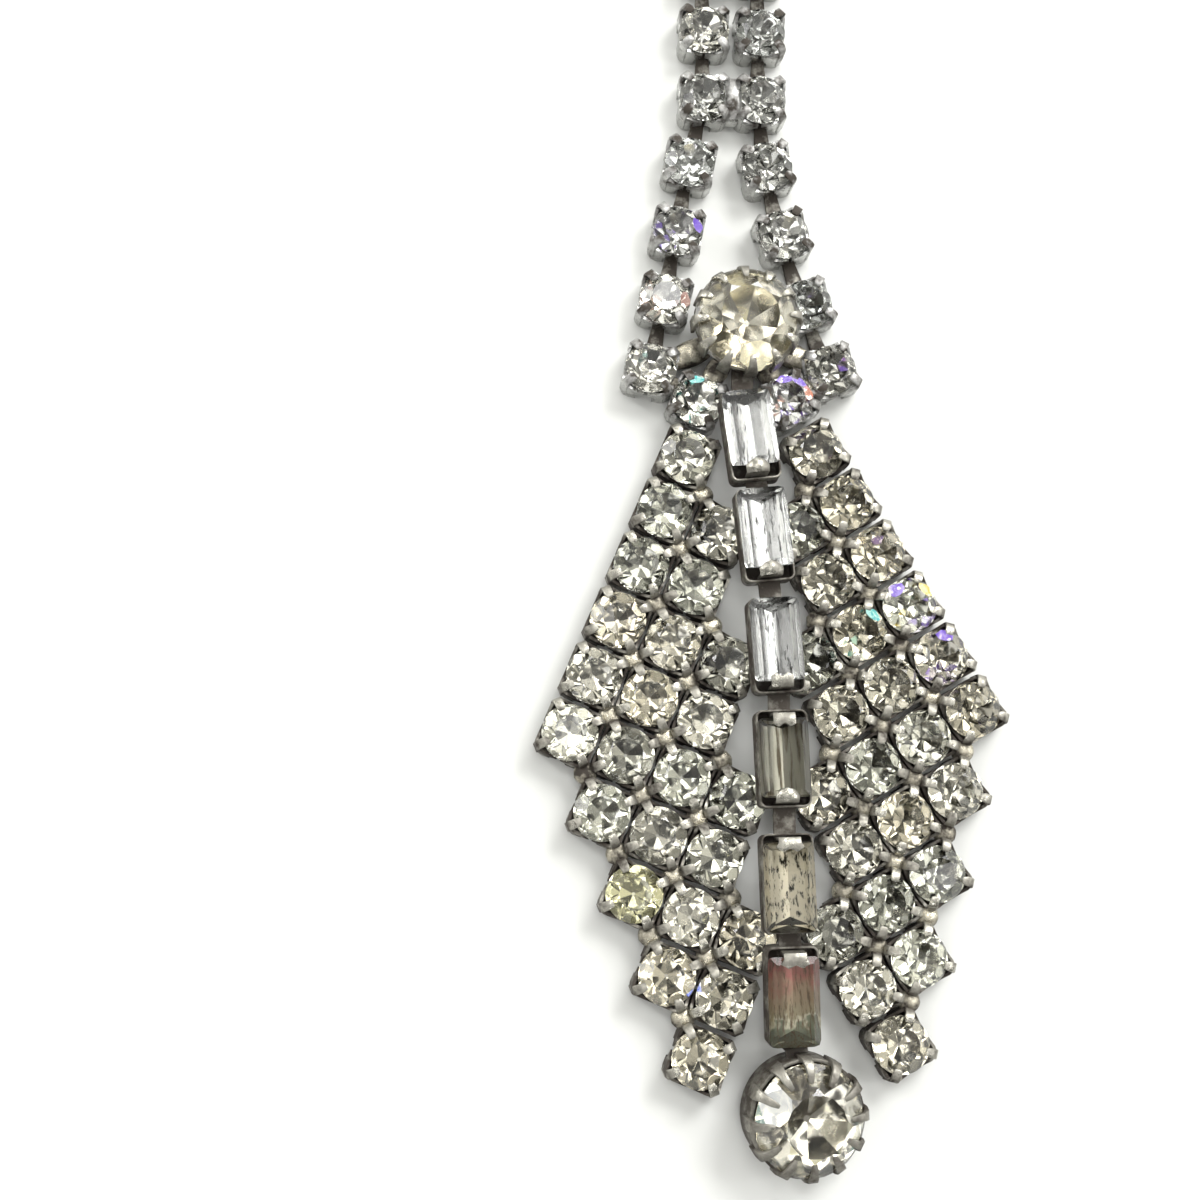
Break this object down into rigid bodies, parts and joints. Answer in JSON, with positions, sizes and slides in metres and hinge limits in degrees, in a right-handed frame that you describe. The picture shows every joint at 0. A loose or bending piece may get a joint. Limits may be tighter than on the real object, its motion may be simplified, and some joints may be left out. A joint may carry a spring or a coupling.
{
  "type": "chandelier earring",
  "caption": "Chandelier earring lying face up: ear hook, paired stone chains, a yoke round a large stone, lattice wings of round stones, a chain of baguettes and a round drop.",
  "frame": {"origin": "middle of the bottom of the bounding box, on the surface the earring lies on", "axes": "+Y along the earring towards the ear hook, +X to the right as seen from the front, +Z out of the stones' faces"},
  "size_m": [0.0346, 0.1084, 0.0058],
  "materials": {
    "darkened_silver": "silver-coloured plating over brass, darkened in the recesses",
    "bright_wire": "bright plated wire",
    "crystal": "clear cut glass with a foiled back",
    "aged_crystal": "step-cut glass with an aged, partly browned foil"
  },
  "bodies": {
    "root": {"baguette_link_1": "darkened_silver", "baguette_link_2": "darkened_silver", "baguette_link_3": "darkened_silver", "baguette_link_4": "darkened_silver", "baguette_link_5": "darkened_silver", "baguette_link_6": "darkened_silver", "baguette_link_7": "darkened_silver", "baguette_setting_1": "darkened_silver", "baguette_setting_2": "darkened_silver", "baguette_setting_3": "darkened_silver", "baguette_setting_4": "darkened_silver", "baguette_setting_5": "darkened_silver", "baguette_setting_6": "darkened_silver", "baguette_stone_1": "aged_crystal", "baguette_stone_2": "aged_crystal", "baguette_stone_3": "aged_crystal", "baguette_stone_4": "aged_crystal", "baguette_stone_5": "aged_crystal", "baguette_stone_6": "aged_crystal", "centre_stone": "crystal", "drop_setting": "darkened_silver", "drop_stone": "crystal", "ear_hook": "bright_wire", "left_strand_cup_1": "darkened_silver", "left_strand_cup_2": "darkened_silver", "left_strand_cup_3": "darkened_silver", "left_strand_stone_1": "crystal", "left_strand_stone_2": "crystal", "left_strand_stone_3": "crystal", "left_wing": "darkened_silver", "pair_low_setting": "darkened_silver", "pair_low_stone_left": "crystal", "pair_low_stone_right": "crystal", "pair_mid_cup_left": "darkened_silver", "pair_mid_cup_right": "darkened_silver", "pair_mid_stone_left": "crystal", "pair_mid_stone_right": "crystal", "pair_top_setting": "darkened_silver", "pair_top_stone_left": "crystal", "pair_top_stone_right": "crystal", "right_strand_cup_1": "darkened_silver", "right_strand_cup_2": "darkened_silver", "right_strand_cup_3": "darkened_silver", "right_strand_stone_1": "crystal", "right_strand_stone_2": "crystal", "right_strand_stone_3": "crystal", "right_wing": "darkened_silver", "yoke_setting": "darkened_silver", "yoke_stone_left_inner": "crystal", "yoke_stone_left_outer": "crystal", "yoke_stone_right_inner": "crystal", "yoke_stone_right_outer": "crystal"}
  },
  "joints": []
}
